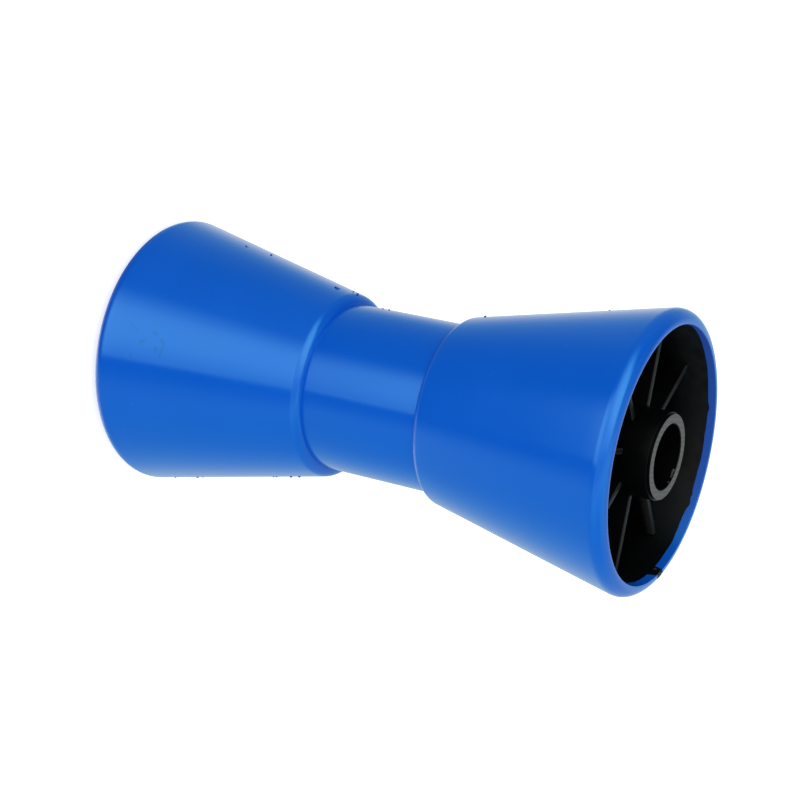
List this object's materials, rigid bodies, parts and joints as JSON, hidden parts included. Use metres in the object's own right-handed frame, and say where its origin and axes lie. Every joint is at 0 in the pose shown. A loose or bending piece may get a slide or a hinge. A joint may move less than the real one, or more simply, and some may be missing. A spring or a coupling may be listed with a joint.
{
  "type": "boat trailer keel roller",
  "caption": "Hourglass keel roller: a glossy blue soft tread moulded over a black hard core with ribbed, cupped ends and a plain bore.",
  "frame": {"origin": "on the bore's axis at mid-length", "axes": "+Z along the bore, with the roller standing on one end; +X along one of the ribs"},
  "size_m": [0.096, 0.096, 0.2],
  "materials": {
    "tread": "gloss, soft PVC",
    "core": "gloss, hard polypropylene"
  },
  "bodies": {
    "root": {"tread": "tread", "core": "core"}
  },
  "joints": []
}
